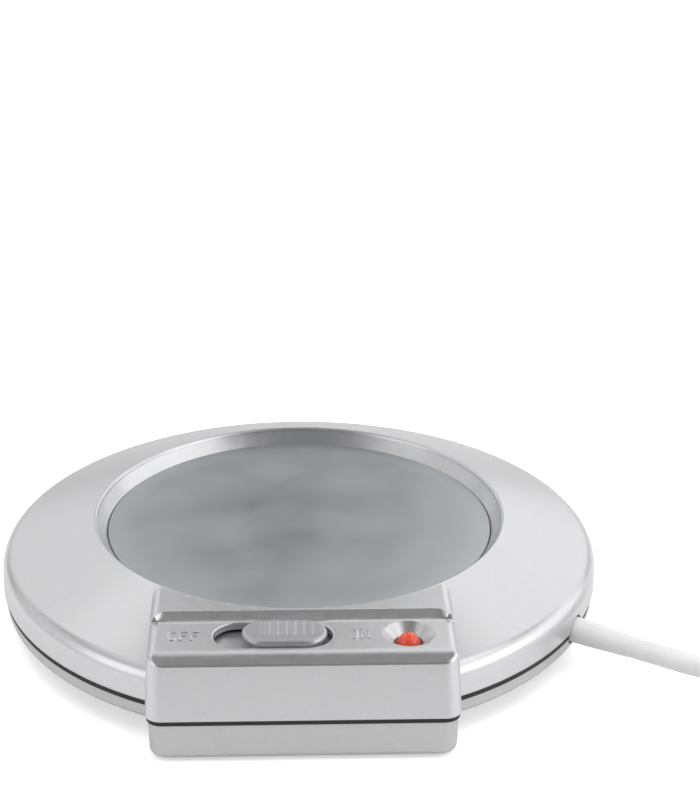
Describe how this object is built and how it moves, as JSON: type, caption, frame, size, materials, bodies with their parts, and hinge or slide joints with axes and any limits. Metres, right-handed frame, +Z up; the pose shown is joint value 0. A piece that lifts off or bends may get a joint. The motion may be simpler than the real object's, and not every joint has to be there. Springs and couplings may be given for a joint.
{
  "type": "electric mug warmer",
  "caption": "Round electric mug warmer with a sunk hot plate, a front control box with a slide switch and pilot lamp, and a mains cord.",
  "frame": {"origin": "under the middle of the disc, on the surface that the feet stand on", "axes": "+Z up, square to the hot plate; -Y towards the control box; +X to the right, where the cord leaves"},
  "size_m": [0.253, 0.1375, 0.0234],
  "materials": {
    "upper_shell": "satin silver moulded plastic",
    "lower_shell": "satin grey moulded plastic",
    "seal_rubber": "matt black",
    "plate_metal": "satin grey coating",
    "sheet_steel": "zinc plated",
    "screw_steel": "zinc plated",
    "brass": "plain",
    "mica": "mica sheet",
    "heater_card": "mica card with resistance wire",
    "ceramic_fibre": "ceramic fibre felt",
    "cutout_ceramic": "unglazed",
    "shield_aluminium": "plain sheet",
    "knob_plastic": "satin silver moulded plastic",
    "black_plastic": "moulded",
    "lens_orange": "clear tinted",
    "lamp_glass": "clear",
    "resistor_ceramic": "painted",
    "block_plastic": "moulded",
    "cord_white": "smooth white sheath",
    "plug_white": "satin white moulding",
    "tie_plastic": "smooth",
    "blade_brass": "nickel plated",
    "foot_rubber": "matt",
    "wire_brown": "smooth insulation",
    "wire_blue": "smooth insulation",
    "wire_sleeved": "woven glass sleeving",
    "wire_bare": "tinned wire"
  },
  "bodies": {
    "base": {"upper_housing": "upper_shell", "lower_housing": "lower_shell", "seam_seal": "seal_rubber", "hot_plate": "plate_metal", "plate_seal": "seal_rubber", "plate_ring": "sheet_steel", "plate_ring_screws": "screw_steel", "heater_stud": "brass", "upper_mica": "mica", "heater_winding": "heater_card", "lower_mica": "mica", "insulation_pad": "ceramic_fibre", "heater_clamp": "sheet_steel", "clamp_washer": "screw_steel", "clamp_nut": "screw_steel", "thermal_cutout": "cutout_ceramic", "cutout_strap": "sheet_steel", "heat_shield": "shield_aluminium", "switch_frame": "sheet_steel", "switch_body": "black_plastic", "switch_terminals": "brass", "switch_screws": "screw_steel", "indicator_lens": "lens_orange", "lens_clip": "sheet_steel", "neon_lamp": "lamp_glass", "ballast_resistor": "resistor_ceramic", "terminal_block": "block_plastic", "terminal_screws": "brass", "cord_clamp": "block_plastic", "cord_clamp_screws": "screw_steel", "inner_cord": "cord_white", "cord_relief": "cord_white", "supply_cord": "cord_white", "cord_coil": "cord_white", "coil_tie": "tie_plastic", "plug_lead": "cord_white", "plug_body": "plug_white", "plug_blades": "blade_brass", "housing_screws": "screw_steel", "foot_pads": "foot_rubber", "live_lead": "wire_brown", "neutral_lead": "wire_blue", "switch_lead": "wire_brown", "cutout_lead": "wire_sleeved", "heater_live_lead": "wire_sleeved", "heater_return_lead": "wire_sleeved", "lamp_leads": "wire_bare"},
    "slider": {"switch_knob": "knob_plastic", "switch_lever": "black_plastic", "contact_bridge": "brass"}
  },
  "joints": [
    {"name": "switch_slide", "type": "slide", "parent": "base", "child": "slider", "axis": [1, 0, 0], "range_m": [-0.0045, 0]}
  ]
}
